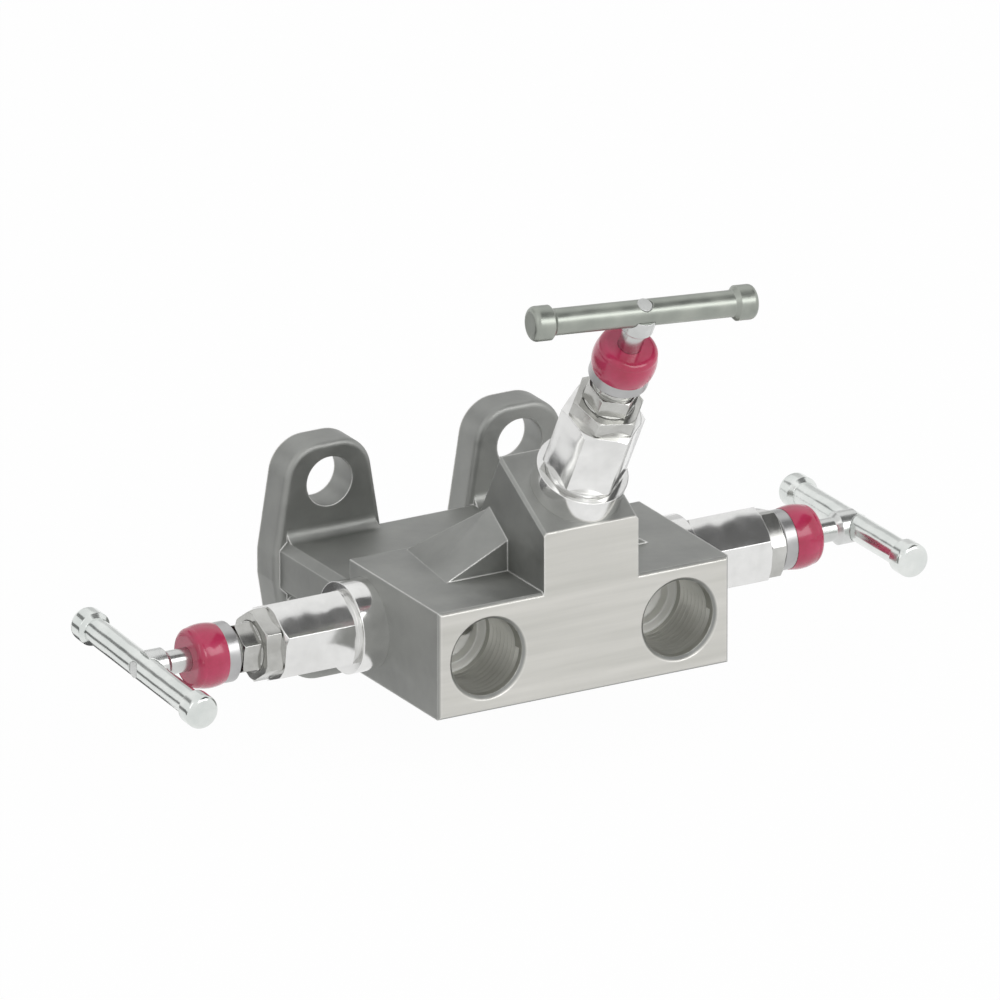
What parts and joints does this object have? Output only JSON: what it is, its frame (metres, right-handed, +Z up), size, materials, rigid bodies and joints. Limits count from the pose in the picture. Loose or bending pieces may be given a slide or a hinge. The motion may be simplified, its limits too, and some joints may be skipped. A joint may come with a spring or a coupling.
{
  "type": "instrument valve manifold",
  "caption": "Stainless manifold with three T-handle needle valves, two pipe ports in front and a flange behind for a differential-pressure transmitter.",
  "frame": {"origin": "centre of the four-bolt pattern on the flat face that seats on the transmitter", "axes": "+X to the right seen from the pipe ports, +Y out of the transmitter face, +Z up, on the side of the equalising valve"},
  "size_m": [0.2095, 0.1167, 0.1283],
  "materials": {
    "body_steel": "satin machined stainless steel, bead-blasted on the forged faces",
    "bonnet_steel": "bright turned stainless steel",
    "nut_steel": "bright turned stainless steel",
    "stem_steel": "ground stainless steel",
    "bar_steel": "polished stainless steel",
    "bar_steel_dull": "stainless steel gone dull with handling",
    "ring_steel": "satin turned stainless steel",
    "cap_plastic": "glossy crimson moulded plastic",
    "packing_ptfe": "white PTFE",
    "seat_metal": "hard-faced stainless steel, lapped"
  },
  "bodies": {
    "body": {"manifold_body": "body_steel", "flange_seal_left": "packing_ptfe", "flange_seal_right": "packing_ptfe", "left_bonnet": "bonnet_steel", "left_bonnet_seal": "nut_steel", "left_seat": "seat_metal", "left_packing_washer": "nut_steel", "left_packing_rings": "packing_ptfe", "left_gland_ring": "nut_steel", "left_packing_nut": "nut_steel", "left_lock_nut": "nut_steel", "right_bonnet": "bonnet_steel", "right_bonnet_seal": "nut_steel", "right_seat": "seat_metal", "right_packing_washer": "nut_steel", "right_packing_rings": "packing_ptfe", "right_gland_ring": "nut_steel", "right_packing_nut": "nut_steel", "right_lock_nut": "nut_steel", "equaliser_bonnet": "bonnet_steel", "equaliser_bonnet_seal": "nut_steel", "equaliser_seat": "seat_metal", "equaliser_packing_washer": "nut_steel", "equaliser_packing_rings": "packing_ptfe", "equaliser_gland_ring": "nut_steel", "equaliser_packing_nut": "nut_steel", "equaliser_lock_nut": "nut_steel"},
    "left_tip_slide": {"left_stem_tip": "seat_metal"},
    "left_spindle": {"left_stem": "stem_steel", "left_dust_cap": "cap_plastic", "left_cap_ring": "ring_steel", "left_t_bar": "bar_steel"},
    "right_tip_slide": {"right_stem_tip": "seat_metal"},
    "right_spindle": {"right_stem": "stem_steel", "right_dust_cap": "cap_plastic", "right_cap_ring": "ring_steel", "right_t_bar": "bar_steel"},
    "equaliser_tip_slide": {"equaliser_stem_tip": "seat_metal"},
    "equaliser_spindle": {"equaliser_stem": "stem_steel", "equaliser_dust_cap": "cap_plastic", "equaliser_cap_ring": "ring_steel", "equaliser_t_bar": "bar_steel_dull"}
  },
  "joints": [
    {"name": "left_lift", "type": "slide", "parent": "body", "child": "left_tip_slide", "axis": [-1, 0, 0], "range_m": [-0.00625, 0.00219]},
    {"name": "left_turn", "type": "hinge", "parent": "left_tip_slide", "child": "left_spindle", "pos_m": [-0.041, -0.052, 0], "axis": [-1, 0, 0], "range_deg": [-1800, 630]},
    {"name": "right_lift", "type": "slide", "parent": "body", "child": "right_tip_slide", "axis": [1, 0, 0], "range_m": [0, 0.00844]},
    {"name": "right_turn", "type": "hinge", "parent": "right_tip_slide", "child": "right_spindle", "pos_m": [0.041, -0.052, 0], "axis": [1, 0, 0], "range_deg": [0, 2430]},
    {"name": "equaliser_lift", "type": "slide", "parent": "body", "child": "equaliser_tip_slide", "axis": [0, -0.5, 0.866], "range_m": [-0.00844, 0]},
    {"name": "equaliser_turn", "type": "hinge", "parent": "equaliser_tip_slide", "child": "equaliser_spindle", "pos_m": [0.0036, -0.07743, 0.0354], "axis": [0, -0.5, 0.866], "range_deg": [-2430, 0]}
  ],
  "couplings": [
    {"joint": "left_lift", "follows": "left_turn", "m_per_rad": 0.00019894},
    {"joint": "right_lift", "follows": "right_turn", "m_per_rad": 0.00019894},
    {"joint": "equaliser_lift", "follows": "equaliser_turn", "m_per_rad": 0.00019894}
  ]
}
